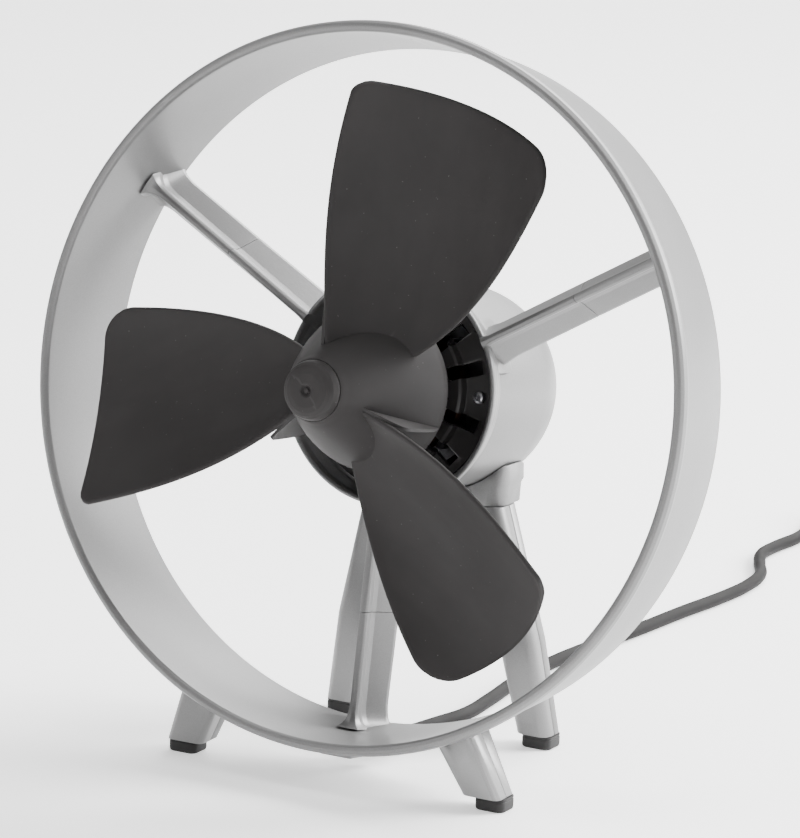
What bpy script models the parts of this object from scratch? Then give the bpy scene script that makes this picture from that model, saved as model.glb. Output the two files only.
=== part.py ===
"""Desk fan with an open ring guard: a three-blade propeller in a wide ring that stands on four legs.

Blender 4.5, metres, +Z up, air blown towards -Y. The fan axis leans back by TILT. Most pieces are
modelled in the ring's own frame: x to the right, y backwards along the fan axis from the ring's
front plane, z up. The origin of the row frame is on the table, under the middle of the fan.
"""

import math

import bmesh
import bpy
from mathutils import Matrix, Vector

MM = 0.001
GAP = 0.3 * MM  # between neighbouring pieces

# Driving dimensions
TILT = math.radians(9.0)  # the front looks up by this much
AXIS_HEIGHT = 176.3 * MM  # of the fan axis where it crosses the ring's front plane
AXIS_Y = -62.5 * MM  # of the same point, so that the fan is centred on the origin
RING_RADIUS = 160.0 * MM
SPOKE_ANGLES = {"right": 30.0, "left": 150.0, "lower": 270.0}  # degrees from +x, seen from the front
SPOKE_JOINT = 100.0 * MM  # radius of the parting line across each spoke
SPOKE_HALF = 8.3 * MM
SPOKE_NOSE = 34.5 * MM
HOUSING_RADIUS = 46.4 * MM
HOUSING_FRONT = 51.1 * MM
DOME_START = 99.0 * MM
HOUSING_WALL = 2.2 * MM
SHAFT_RADIUS = 4.0 * MM
BUSH_RADIUS = 7.3 * MM
BLADE_TIP = 134.3 * MM
BLADE_ROOT = 16.5 * MM  # inside the spinner, which the blade is then cut to
BLADE_THICKNESS = 2.6 * MM
BLADES = 3
ROTOR_FRONT, ROTOR_BACK = 60.0 * MM, 88.0 * MM
STATOR_FRONT, STATOR_BACK = 62.0 * MM, 86.0 * MM
MOTOR_BOLT_CIRCLE = 32.0 * MM
CUP_SCREW_ANGLES = (1.0, 121.0, 241.0)
CUP_SCREW_RADIUS = 41.0 * MM
CUP_SLOTS_AFTER_SCREW = (18.0, 44.0, 76.0, 102.0)  # degrees from each screw to its slots
FOOT_HEIGHT = 6.0 * MM
FRONT_FOOT = (78.0 * MM, 1.3 * MM)  # on the table, measured from under the ring's front plane
REAR_FOOT = (51.0 * MM, 97.2 * MM)
LEG_WALL = 2.2 * MM
CORD_RADIUS = 3.2 * MM
LEAD_Y = 49.2 * MM  # of the lead inside the lower spoke
GLAND_Z = -158.7 * MM  # the cord's height in the ring's frame where it leaves the gland
COIL_CENTRE = (28.0 * MM, 575.0 * MM)
COIL_RADIUS = 36.0 * MM  # of the middle of the turns
COIL_HALF_WIDTH = 10.0 * MM
COIL_HEIGHT = 13.0 * MM

MATERIALS = {
    "silver": ((0.52, 0.53, 0.53), 0.42, 0.35),
    "soft_rubber": ((0.085, 0.075, 0.072), 0.62, 0.0),
    "dark_plastic": ((0.030, 0.028, 0.028), 0.45, 0.0),
    "foot_rubber": ((0.040, 0.036, 0.036), 0.75, 0.0),
    "steel": ((0.60, 0.60, 0.62), 0.30, 1.0),
    "lamination": ((0.22, 0.22, 0.24), 0.45, 0.9),
    "copper": ((0.62, 0.27, 0.13), 0.35, 0.9),
    "bronze": ((0.55, 0.38, 0.16), 0.35, 1.0),
    "cord_rubber": ((0.060, 0.057, 0.056), 0.55, 0.0),
}


def clear_scene():
    for o in list(bpy.data.objects):
        bpy.data.objects.remove(o, do_unlink=True)


clear_scene()
parts = bpy.data.collections.new("ring_desk_fan")
cutters = bpy.data.collections.new("cutters")
bpy.context.scene.collection.children.link(parts)
bpy.context.scene.collection.children.link(cutters)


def empty(name, parent=None, location=(0, 0, 0), rotation=(0, 0, 0)):
    e = bpy.data.objects.new(name, None)
    e.location, e.rotation_euler, e.parent = location, rotation, parent
    e.empty_display_size = 0.02
    parts.objects.link(e)
    return e


fan_axis = empty("fan_axis", None, (0, AXIS_Y, AXIS_HEIGHT), (-TILT, 0, 0))
propeller = empty("propeller", fan_axis)
knob_axis = empty("knob_axis", fan_axis, (0, 150 * MM, 0))
stand = empty("stand", None, (0, AXIS_Y, 0))


def material(slot):
    m = bpy.data.materials.get(slot)
    if m is None:
        m = bpy.data.materials.new(slot)
        m.use_nodes = True
        colour, rough, metal = MATERIALS[slot]
        shader = m.node_tree.nodes["Principled BSDF"]
        shader.inputs["Base Color"].default_value = (*colour, 1)
        shader.inputs["Roughness"].default_value = rough
        shader.inputs["Metallic"].default_value = metal
        m.diffuse_color = (*colour, 1)
    return m


def place(name, mesh, slot, parent, location=(0, 0, 0), rotation=(0, 0, 0)):
    """A part, or a cutter when slot is None."""
    o = bpy.data.objects.new(name, mesh)
    o.location, o.rotation_euler, o.parent = location, rotation, parent
    if slot is None:
        cutters.objects.link(o)
        o.hide_render = True
        o.display_type = "WIRE"
    else:
        parts.objects.link(o)
        if not mesh.materials:
            mesh.materials.append(material(slot))
    return o


def smooth(mesh, angle=35):
    mesh.shade_smooth()
    mesh.set_sharp_from_angle(angle=math.radians(angle))


def turned(name, profile, slot, parent=fan_axis, steps=48, location=(0, 0, 0)):
    """A closed outline of (radius, distance along y), turned about the parent's y axis.

    The outline runs down its outer side, from the back to the front, and returns inside.
    """
    mesh = bpy.data.meshes.new(name)
    points = [(r, 0, y) for r, y in profile]
    count = len(points)
    solid = profile[0][0] == 0  # starts and ends on the axis
    edges = [(i, i + 1) for i in range(count - 1)]
    if not solid:
        edges.append((count - 1, 0))
    mesh.from_pydata(points, edges, [])
    o = place(name, mesh, slot, parent, location, (-math.pi / 2, 0, 0))
    screw = o.modifiers.new("Turn", "SCREW")
    screw.axis = "Z"
    screw.steps = screw.render_steps = steps
    screw.use_merge_vertices = True
    screw.merge_threshold = 0.00001
    return o


def loft(name, rings, slot, parent, location=(0, 0, 0), rotation=(0, 0, 0)):
    """A closed solid through rings of points that each have the same number of points."""
    bm = bmesh.new()
    loops = [[bm.verts.new(p) for p in ring] for ring in rings]
    for a, b in zip(loops, loops[1:]):
        for i in range(len(a)):
            j = (i + 1) % len(a)
            bm.faces.new((a[i], a[j], b[j], b[i]))
    bm.faces.new(loops[0][::-1])
    bm.faces.new(loops[-1])
    bmesh.ops.recalc_face_normals(bm, faces=bm.faces)
    mesh = bpy.data.meshes.new(name)
    bm.to_mesh(mesh)
    bm.free()
    smooth(mesh)
    return place(name, mesh, slot, parent, location, rotation)


def box(name, size, slot, parent, location=(0, 0, 0), rotation=(0, 0, 0), bevel=0.0):
    bm = bmesh.new()
    bmesh.ops.create_cube(bm, size=1)
    bmesh.ops.scale(bm, vec=size, verts=bm.verts)
    mesh = bpy.data.meshes.new(name)
    bm.to_mesh(mesh)
    bm.free()
    o = place(name, mesh, slot, parent, location, rotation)
    if bevel:
        edge = o.modifiers.new("Bevel", "BEVEL")
        edge.width, edge.segments = bevel, 2
    return o


def rod(name, radius, length, slot, parent, location=(0, 0, 0), axis="y", sides=16):
    """A cylinder whose middle is at location."""
    bm = bmesh.new()
    bmesh.ops.create_cone(
        bm, cap_ends=True, segments=sides, radius1=radius, radius2=radius, depth=length
    )
    mesh = bpy.data.meshes.new(name)
    bm.to_mesh(mesh)
    bm.free()
    smooth(mesh)
    turn = {"x": (0, math.pi / 2, 0), "y": (-math.pi / 2, 0, 0), "z": (0, 0, 0)}[axis]
    return place(name, mesh, slot, parent, location, turn)


def boolean(o, other, operation):
    m = o.modifiers.new(operation.title(), "BOOLEAN")
    m.operation, m.object, m.solver = operation, other, "EXACT"
    return o


def cut(o, other):
    return boolean(o, other, "DIFFERENCE")


def join(o, other):
    return boolean(o, other, "UNION")


def polar(radius, degrees, y):
    """A point of the ring's frame."""
    a = math.radians(degrees)
    return (radius * math.cos(a), y, radius * math.sin(a))


def arc(centre, radius, start, end, count):
    """Points (radius, y) of an arc in an outline; angles in degrees from the radial direction."""
    out = []
    for i in range(count + 1):
        a = math.radians(start + (end - start) * i / count)
        out.append((centre[0] + radius * math.cos(a), centre[1] + radius * math.sin(a)))
    return out


def scaled(points):
    return [(a * MM, b * MM) for a, b in points]


# Ring guard -----------------------------------------------------------------------------------

RING_OUTER = scaled(
    [(152.2, 54.7), (152.8, 54.1), (155.9, 30), (157.8, 12), (158.2, 8.4), (158.7, 7.4), (159.7, 6.4)]
    + [(160.0, 4.6), (159.7, 2.2), (158.6, 0.5), (157.2, 0.0)]
)
RING_INNER = scaled([(155.6, 0.5), (154.8, 1.8), (154.6, 4.0), (152.7, 30), (149.6, 54.1), (150.2, 54.7)])


def spoke_section(widen=1.0, grow=0.0, back=53.6 * MM):
    """Half-round nose, a crease behind it and flanks that widen to a flat back, as (x, y)."""
    half = SPOKE_HALF * widen
    right = [
        (1.4 * MM * widen + grow, SPOKE_NOSE + 0.4 * MM - grow),
        (2.2 * MM * widen + grow, SPOKE_NOSE + 2.0 * MM),
        (1.7 * MM * widen + grow, SPOKE_NOSE + 5.5 * MM),
        (2.6 * MM * widen + grow, SPOKE_NOSE + 8.0 * MM),
        (half - 0.3 * MM, back - 2.6 * MM),
        (half, back - 1.0 * MM),
        (half - 0.8 * MM, back),
    ]
    left = [(-x, y) for x, y in reversed(right)]
    return [(0, SPOKE_NOSE - grow), *right, *left]


def spoke(name, stations, angle):
    """stations: (radius, widen, grow, back). The spoke stands along +z before it is turned."""
    rings = []
    for radius, widen, grow, back in stations:
        rings.append([(x, y, radius) for x, y in spoke_section(widen, grow, back)])
    turn = (0, -math.radians(angle - 90), 0)
    return loft(name, rings, None, fan_axis, (0, 0, 0), turn)


def make_ring():
    ring = turned("guard_ring", RING_OUTER + RING_INNER, "silver", steps=80)
    back = 53.6 * MM
    for side, angle in SPOKE_ANGLES.items():
        stations = [
            (SPOKE_JOINT + GAP / 2, 1.0, 0, 54.8 * MM),
            (142 * MM, 1.0, 0, back),
            (147 * MM, 1.08, 0.5 * MM, back),
            (150 * MM, 1.3, 1.6 * MM, back),
            (151.6 * MM, 1.55, 3.0 * MM, back),
        ]
        join(ring, spoke(f"spoke_outer_{side}", stations, angle))
    cut(ring, lower_channel())
    cut(ring, rod("lead_hole", 3.0 * MM, 30 * MM, None, fan_axis, (0, LEAD_Y, -152 * MM), "z"))
    return ring


def lower_channel():
    """The groove in the back of the lower spoke that hides the lead."""
    front, back = 46.8 * MM, 62.0 * MM
    size = (6.2 * MM, back - front, 92 * MM)
    return box("lower_channel", size, None, fan_axis, (0, (front + back) / 2, -101.0 * MM))


# Collar, housing and motor --------------------------------------------------------------------


def make_collar():
    """The collar with its saddle tabs and the inner halves of the three spokes."""
    outline = scaled(
        [(47.6, 50.7), (48.6, 50.4), (49.2, 47.5), (51.6, 42), (52.6, 38), (52.5, 36.8), (51.9, 36.0)]
        + [(51.0, 36.0), (50.2, 37.0), (49.6, 40.5), (47.2, 45.5), (46.9, 50.7)]
    )
    collar = turned("motor_collar", outline, "silver", steps=48)
    for side, angle in SPOKE_ANGLES.items():
        join(collar, tab(f"collar_tab_{side}", angle))
        stations = [
            (46.0 * MM, 1.10, 0.5 * MM, 58.2 * MM),
            (51.5 * MM, 1.04, 0.2 * MM, 57.8 * MM),
            (56 * MM, 1.0, 0, 57.2 * MM),
            (SPOKE_JOINT - GAP / 2, 1.0, 0, 54.8 * MM),
        ]
        join(collar, spoke(f"spoke_inner_{side}", stations, angle))
    bore = scaled([(46.85, 70), (46.85, 50.0), (47.1, 45.5), (49.5, 40.5), (50.1, 37.0), (51.2, 35.0)])
    bore += scaled([(51.2, 25), (30, 25), (30, 70)])
    cut(collar, turned("collar_bore", bore, None, steps=48))
    cut(collar, bpy.data.objects["lower_channel"])
    return collar


def tab(name, angle):
    """A saddle tab: a piece of a tube wall that lies over the housing behind the collar."""
    half, front, back = 15.5, 48.0 * MM, 63.0 * MM
    inner, outer = 46.2 * MM, 48.4 * MM
    rings = []
    for y, share in ((front, 1.0), (back - 2.5 * MM, 1.0), (back - 0.7 * MM, 0.93), (back, 0.84)):
        ring = []
        for i in range(7):
            ring.append(polar(outer, 90 + half * share * (1 - i / 3), y))
        for i in range(7):
            ring.append(polar(inner, 90 - half * share * (1 - i / 3), y))
        rings.append(ring)
    turn = (0, -math.radians(angle - 90), 0)
    return loft(name, rings, None, fan_axis, (0, 0, 0), turn)


def make_housing():
    """The motor housing, a cylinder with a domed back and a hole for the switch."""
    dome = arc((0, DOME_START), HOUSING_RADIUS, 83, 0, 7)
    outer = dome + [(HOUSING_RADIUS, HOUSING_FRONT)]
    inside = HOUSING_RADIUS - HOUSING_WALL
    inner = [(inside, HOUSING_FRONT)] + arc((0, DOME_START), inside, 0, 82.65, 7)
    return turned("motor_housing", outer + inner, "silver", steps=40)


def make_motor_cup():
    """The dark front cover of the motor: a shallow cone with slots, and the front bearing seat."""
    outline = scaled(
        [(46.4, 50.8), (46.4, 47.2), (44.4, 46.7), (35.0, 44.6), (34.5, 40.6), (33.2, 39.9), (14, 39.6)]
        + [(7.6, 39.6), (7.6, 52), (10.6, 52), (10.6, 43), (31.6, 43.2), (32.4, 47.2), (43.0, 49.6), (43.0, 50.8)]
    )
    cup = turned("motor_cup", outline, "dark_plastic", steps=48)
    for i, screw_angle in enumerate(CUP_SCREW_ANGLES):
        screw_hole = rod(f"cup_hole_{i}", 1.8 * MM, 20 * MM, None, fan_axis)
        screw_hole.location = polar(CUP_SCREW_RADIUS, screw_angle, 45 * MM)
        cut(cup, screw_hole)
        for j, after in enumerate(CUP_SLOTS_AFTER_SCREW):
            angle = screw_angle + after
            slot = box(f"cup_slot_{i}_{j}", (12.5 * MM, 24 * MM, 6.0 * MM), None, fan_axis)
            slot.location = polar(36.5 * MM, angle, 46 * MM)
            slot.rotation_euler = (0, -math.radians(angle), 0)
            cut(cup, slot)
    return cup


def make_rear_bracket():
    outline = scaled(
        [(7.6, 99), (39.5, 99), (39.5, 88.5), (37.2, 88.5), (37.2, 96.4), (10.8, 96.4), (10.8, 90), (7.6, 90)]
    )
    bracket = turned("motor_rear_bracket", outline[1:] + outline[:1], "steel", steps=36)
    for cutter in bolt_holes():
        cut(bracket, cutter)
    return bracket


def bolt_holes():
    names = [f"bolt_hole_{i}" for i in range(4)]
    if names[0] not in bpy.data.objects:
        for i, name in enumerate(names):
            hole = rod(name, 2.4 * MM, 60 * MM, None, fan_axis, sides=10)
            hole.location = polar(MOTOR_BOLT_CIRCLE, 45 + 90 * i, 78 * MM)
    return [bpy.data.objects[name] for name in names]


def make_stator():
    outline = [
        (36.0 * MM, STATOR_BACK),
        (36.0 * MM, STATOR_FRONT),
        (19.4 * MM, STATOR_FRONT),
        (19.4 * MM, STATOR_BACK),
    ]
    core = turned("stator_core", outline, "lamination", steps=40)
    for cutter in bolt_holes():
        cut(core, cutter)
    for end, front in (("front", 53.9), ("rear", 86.3)):
        ring = scaled([(27.5, 7.8), (29.2, 6.2), (29.2, 1.6), (27.5, 0), (22, 0), (20.3, 1.6), (20.3, 6.2), (22, 7.8)])
        ring = [(r, y + front * MM) for r, y in ring]
        turned(f"stator_winding_{end}", ring, "copper", steps=32)


def headed_rod(name, angle, radius, head_radius, span, head, at, slot="steel", sides=12):
    """A bolt or screw along the fan axis, turned; its head is at the back when head > 0."""
    low, high = span
    if head > 0:
        outline = [(0, high + head), (head_radius, high + head), (head_radius, high), (radius, high)]
        outline += [(radius, low), (0, low)]
    else:
        outline = [(0, high), (radius, high), (radius, low), (head_radius, low)]
        outline += [(head_radius, low + head), (0, low + head)]
    o = turned(name, outline, slot, steps=sides)
    o.location = polar(at, angle, 0)
    return o


def make_motor_fasteners():
    for i in range(4):
        span = (48.4 * MM, 99.3 * MM)
        headed_rod(f"motor_bolt_{i + 1}", 45 + 90 * i, 2.0 * MM, 3.8 * MM, span, 2.6 * MM, MOTOR_BOLT_CIRCLE)
    for i, angle in enumerate(CUP_SCREW_ANGLES):
        span = (45.2 * MM, 50.4 * MM)
        headed_rod(f"cup_screw_{i + 1}", angle, 1.4 * MM, 2.7 * MM, span, -1.7 * MM, CUP_SCREW_RADIUS)


def make_bearings():
    for end, front, back in (("front", 40.0, 51.8), ("rear", 90.2, 98.8)):
        bore = SHAFT_RADIUS + GAP
        ring = [(BUSH_RADIUS, back * MM), (BUSH_RADIUS, front * MM), (bore, front * MM), (bore, back * MM)]
        turned(f"{end}_bush", ring, "bronze", steps=24)


def make_rotor():
    """The shaft and everything inside the motor that turns with it."""
    shaft = [(0, 105 * MM), (3.4 * MM, 105 * MM), (SHAFT_RADIUS, 104.4 * MM), (SHAFT_RADIUS, -25.4 * MM)]
    shaft += [(3.4 * MM, -26 * MM), (0, -26 * MM)]
    turned("motor_shaft", shaft, "steel", propeller, steps=20)
    bore = SHAFT_RADIUS + GAP
    rotor = [(18.4 * MM, ROTOR_BACK), (18.9 * MM, ROTOR_BACK - 0.5 * MM), (18.9 * MM, ROTOR_FRONT + 0.5 * MM)]
    rotor += [(18.4 * MM, ROTOR_FRONT), (bore, ROTOR_FRONT), (bore, ROTOR_BACK)]
    turned("rotor_core", rotor, "lamination", propeller, steps=32)
    for end, front in (("front", 52.6 * MM), ("rear", 88.4 * MM)):
        washer = [(8 * MM, front + 1 * MM), (8 * MM, front), (bore, front), (bore, front + 1 * MM)]
        turned(f"thrust_washer_{end}", washer, "steel", propeller, steps=20)


# Propeller --------------------------------------------------------------------------------------

SPINNER_OUTER = [(36.6, 24.0), (36.4, 20.5), (35.2, 16.0), (32.2, 8.0), (28.7, 0.0), (24.9, -8.0), (21.0, -16.0)]
SPINNER_OUTER += [(17.0, -24.0), (15.4, -27.0), (14.3, -29.2), (13.6, -30.3)]


def make_spinner():
    outer = scaled(SPINNER_OUTER + [(8.4, -30.3)])
    inner = scaled(
        [(8.4, -22), (7.4, -22), (7.4, 13), (10.2, 13), (10.2, -22), (12.9, -25.6), (14.3, -24), (18.4, -16)]
        + [(22.3, -8), (26.1, 0), (29.7, 8), (32.8, 16), (34.2, 20.5), (34.4, 24.0)]
    )
    turned("spinner", outer + inner, "soft_rubber", propeller, steps=48)
    bore = SHAFT_RADIUS + GAP
    bush = scaled([(7.1, 12.7), (7.1, -21.8)]) + [(bore, -21.8 * MM), (bore, 12.7 * MM)]
    turned("hub_bush", bush, "bronze", propeller, steps=20)
    nut = rod("hub_nut", 7.6 * MM, 3.6 * MM, "steel", propeller, (0, -24.2 * MM, 0), sides=6)
    cut(nut, rod("nut_bore", bore, 10 * MM, None, propeller, (0, -24.2 * MM, 0)))
    cap = scaled(
        [(0, -27.5), (8.0, -27.5), (8.0, -30.6), (12.9, -30.6), (12.9, -32.2), (12.3, -34.2), (10.8, -35.8)]
        + [(8.6, -36.7), (3.0, -37.0), (2.4, -36.3), (0, -36.1)]
    )
    turned("nose_cap", cap, "soft_rubber", propeller, steps=32)


def blade_point(span, chord):
    """A point of the blade's middle surface.

    chord runs from the leading edge, 0, to the trailing edge, 1; span from the root, 0, to the tip, 1.
    The edges' angles and distances along the axis are cubic in the radius.
    """
    corner = 0.16 if chord < 0.5 else 0.07
    from_edge = min(chord, 1 - chord)
    drop = 0.0
    if from_edge < corner:
        drop = (1 - math.sqrt(1 - (1 - from_edge / corner) ** 2)) * corner * 90 * MM
    tip = BLADE_TIP - 0.5 * MM * math.sin(math.pi * chord) - drop
    radius = BLADE_ROOT + (tip - BLADE_ROOT) * span
    u = (radius / RING_RADIUS - 0.22) / 0.6
    trail = 1.738 - 0.0997 * u - 0.1415 * u**2 + 0.0756 * u**3
    lead = 0.579 + 0.3936 * u - 0.0657 * u**2 - 0.0117 * u**3
    trail_y = -0.1109 + 0.0020 * u - 0.1176 * u**2 + 0.0794 * u**3
    lead_y = 0.0551 + 0.1575 * u - 0.3120 * u**2 + 0.1630 * u**3
    angle = lead + (trail - lead) * chord
    width = radius * (trail - lead) / RING_RADIUS
    camber = 0.19 * width * 4 * chord * (1 - chord)
    y = (lead_y + (trail_y - lead_y) * chord + camber) * RING_RADIUS
    return (radius * math.cos(angle), y, radius * math.sin(angle))


def make_blades():
    spans = [i / 9 for i in range(10)]
    chords = [0, 0.03, 0.09, 0.18, 0.32, 0.46, 0.60, 0.74, 0.86, 0.94, 0.98, 1]
    bm = bmesh.new()
    grid = [[bm.verts.new(blade_point(s, c)) for c in chords] for s in spans]
    for a, b in zip(grid, grid[1:]):
        for i in range(len(chords) - 1):
            bm.faces.new((a[i], a[i + 1], b[i + 1], b[i]))
    mesh = bpy.data.meshes.new("blade")
    bm.to_mesh(mesh)
    bm.free()
    mesh.shade_smooth()
    clearance = [(r * MM + GAP, y * MM) for r, y in [(36.6, 30), *SPINNER_OUTER]]
    outline = [(0, 30 * MM), *clearance, (13.6 * MM + GAP, -42 * MM), (0, -42 * MM)]
    root = turned("blade_root_cutter", outline, None, propeller, steps=48)
    for i in range(BLADES):
        turn = (0, -2 * math.pi * i / BLADES, 0)
        blade = place(f"blade_{i + 1}", mesh, "soft_rubber", propeller, (0, 0, 0), turn)
        shell = blade.modifiers.new("Thickness", "SOLIDIFY")
        shell.thickness, shell.offset = BLADE_THICKNESS, 0
        cut(blade, root)


# Switch ------------------------------------------------------------------------------------------


def make_switch():
    size = (22 * MM, 20 * MM, 22 * MM)
    body = box("speed_switch", size, "dark_plastic", fan_axis, (0, 128 * MM, 0))
    sleeve = scaled([(5.0, 146.8), (5.0, 136.0), (3.4, 136.0), (3.4, 146.8)])
    cut(body, rod("switch_bore", 3.4 * MM, 14 * MM, None, fan_axis, (0, 142 * MM, 0)))
    join(body, turned("switch_neck", sleeve, None, steps=20))
    rod("switch_shaft", 3.0 * MM, 18 * MM, "steel", knob_axis, (0, -3 * MM, 0))
    knob = scaled(
        [(0, 9.3), (9.4, 9.3), (10.7, 8.2), (11.0, 6.5), (11.0, -1.9), (9.3, -1.9), (9.3, 0.6), (3.4, 0.6)]
        + [(3.4, 6.4), (0, 6.4)]
    )
    dial = turned("speed_knob", knob, "dark_plastic", knob_axis, steps=28)
    join(dial, box("knob_grip", (3.2 * MM, 2.4 * MM, 19 * MM), None, knob_axis, (0, 10.2 * MM, 0)))
    rod("run_capacitor", 6.5 * MM, 30 * MM, "dark_plastic", fan_axis, (0, 110.5 * MM, 22 * MM), "x")


# Legs --------------------------------------------------------------------------------------------


def rounded(half_x, half_y, radius, count=3):
    """Points of a rounded rectangle, anticlockwise from the middle of the right side."""
    points = [(half_x, 0)]
    for corner, (sx, sy) in enumerate(((1, 1), (-1, 1), (-1, -1), (1, -1))):
        for i in range(count + 1):
            a = math.pi / 2 * (corner + i / count)
            x = sx * (half_x - radius) + radius * math.cos(a)
            y = sy * (half_y - radius) + radius * math.sin(a)
            points.append((x, y))
        if corner == 1:
            points.append((-half_x, 0))
    return points


def half_shell(name, stations, side, parent, slot="silver"):
    """Half of a hollow leg. side is 1 for the rear half and -1 for the front half.

    stations: (centre x, centre y, height, half x, half y, corner radius) in metres.
    """
    rings = []
    for cx, cy, z, hx, hy, radius in stations:
        ring = []
        outside = rounded(hx, hy, radius)
        inside = rounded(hx - LEG_WALL, hy - LEG_WALL, max(radius - LEG_WALL, 0.6 * MM))
        half = len(outside) // 2
        for x, y in outside[: half + 1]:
            ring.append((cx + x, cy + side * max(y, GAP / 2), z))
        for x, y in reversed(inside[: half + 1]):
            ring.append((cx + x, cy + side * max(y, GAP / 2), z))
        rings.append(ring)
    return loft(name, rings, slot, parent)


def rear_leg_stations(sign, low, high):
    """The rear legs lean inward and forward; the upper part leans in a little more."""
    out = []
    for z, x, hx, hy in (
        (low, None, 8.4, 7.6),
        (50 * MM, 41.5 * MM, 9.4, 8.5),
        (high, 26.4 * MM, 9.0, 8.3),
    ):
        if x is None:
            x = REAR_FOOT[0] - 0.19 * z
        y = REAR_FOOT[1] - 0.082 * z
        out.append((sign * x, y, z, hx * MM, hy * MM, 4.5 * MM))
    return out


def front_leg_stations(sign, low, high):
    out = []
    for z, hx, hy in ((low, 9.2, 8.0), (high, 11.2, 9.6)):
        x = FRONT_FOOT[0] - 0.455 * z
        y = FRONT_FOOT[1] + 0.158 * (0 - z)
        out.append((sign * x, y, z, hx * MM, hy * MM, 3.2 * MM))
    return out


def make_foot(name, x, y, half_x, half_y):
    """A rubber foot: a pad on the table and a plug that goes up into the leg."""
    rings = []
    for z, scale in ((0, 0.93), (0.8 * MM, 1.0), (FOOT_HEIGHT, 1.0)):
        rings.append([(px, py, z) for px, py in rounded(half_x * scale, half_y * scale, 3 * MM * scale, 4)])
    loft(name, rings, "foot_rubber", stand, (x, y, 0))


def make_legs():
    outer = [(r + GAP, y) for r, y in [(RING_OUTER[0][0], 70 * MM), *RING_OUTER[1:-1], (RING_RADIUS, -20 * MM)]]
    plug = [(0, 70 * MM), *outer, (0, -20 * MM)]
    saddle = turned("leg_saddle_cutter", plug, None, steps=80)
    low = FOOT_HEIGHT + GAP
    for side, sign in (("right", 1), ("left", -1)):
        for half, way in (("front", -1), ("rear", 1)):
            name = f"front_leg_{side}_{half}_shell"
            shell = half_shell(name, front_leg_stations(sign, low, 40 * MM), way, stand)
            cut(shell, saddle)
            name = f"rear_leg_{side}_{half}_shell"
            half_shell(name, rear_leg_stations(sign, low, 112 * MM), way, stand)
        make_foot(f"front_foot_{side}", sign * FRONT_FOOT[0], FRONT_FOOT[1], 7.2 * MM, 6.4 * MM)
        make_foot(f"rear_foot_{side}", sign * REAR_FOOT[0], REAR_FOOT[1], 7.4 * MM, 6.6 * MM)


def make_yoke():
    """The saddle under the housing that carries both rear legs."""
    rings = []
    for z, hx, hy, cy in (
        (108.5, 13.0, 11.0, 92.0),
        (109.5, 16.2, 12.8, 92.5),
        (112.25, 16.6, 13.0, 92.5),
        (112.3, 35.0, 12.6, 92.2),
        (120.5, 35.2, 13.0, 92.5),
        (122.5, 36.2, 13.3, 92.5),
        (131.0, 36.0, 13.3, 92.5),
    ):
        points = rounded(hx * MM, hy * MM, 8 * MM, 3)
        rings.append([(x, cy * MM + y, z * MM) for x, y in points])
    yoke = loft("leg_yoke", rings, "silver", stand)
    seat = HOUSING_RADIUS + 2 * GAP
    outline = [(0, 160 * MM), (seat, 160 * MM), (seat, 20 * MM), (0, 20 * MM)]
    cut(yoke, turned("yoke_seat_cutter", outline, None, steps=60))
    return yoke


# Cord ---------------------------------------------------------------------------------------------


def smooth_route(points, per_span=4):
    """Points on a Catmull-Rom curve through the route's own points."""
    route = [Vector(p) * MM for p in points]
    ends = [route[0] * 2 - route[1], *route, route[-1] * 2 - route[-2]]
    out = []
    for a, b, c, d in zip(ends, ends[1:], ends[2:], ends[3:]):
        for i in range(per_span):
            t = i / per_span
            out.append(0.5 * (2 * b + (c - a) * t + (2 * a - 5 * b + 4 * c - d) * t**2 + (3 * b - a - 3 * c + d) * t**3))
    out.append(route[-1])
    return out


def tube(name, points, radius, slot, parent):
    curve = bpy.data.curves.new(name, "CURVE")
    curve.dimensions = "3D"
    curve.bevel_depth = radius
    curve.bevel_resolution = 2
    curve.use_fill_caps = True
    spline = curve.splines.new("POLY")
    spline.points.add(len(points) - 1)
    for at, p in zip(spline.points, points):
        at.co = (*p, 1)
    curve.materials.append(material(slot))
    o = bpy.data.objects.new(name, curve)
    o.parent = parent
    parts.objects.link(o)
    return o


def ring_to_stand(x, y, z):
    """A point of the ring's frame in the stand's frame."""
    return Matrix.Rotation(-TILT, 3, "X") @ Vector((x, y, z)) + Vector((0, 0, AXIS_HEIGHT))


# The cord lies along the middle of the fan, backwards from under the ring, with a gentle double bend.
CORD_ROUTE = [
    (0.6, 92, 3.6),
    (3.5, 112, 3.3),
    (1.6, 140, 3.3),
    (-2.6, 175, 3.3),
    (-3.8, 214, 3.3),
    (-1.2, 252, 3.3),
    (3.5, 292, 3.3),
    (7.0, 336, 3.3),
    (11.2, 376, 3.3),
    (11.8, 404, 3.3),
    (8.0, 428, 3.3),
    (-2.0, 449, 3.3),
    (-9.6, 468, 3.3),
    (-10.6, 488, 3.3),
    (-9.0, 512, 3.3),
    (-12.5, 536, 3.3),
    (-18.0, 555, 3.4),
]
TAIL_ROUTE = [(74.0, 555, 3.4), (77.5, 541, 3.5), (79.5, 526, 4.6), (80.0, 514.5, 6.2)]


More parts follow.
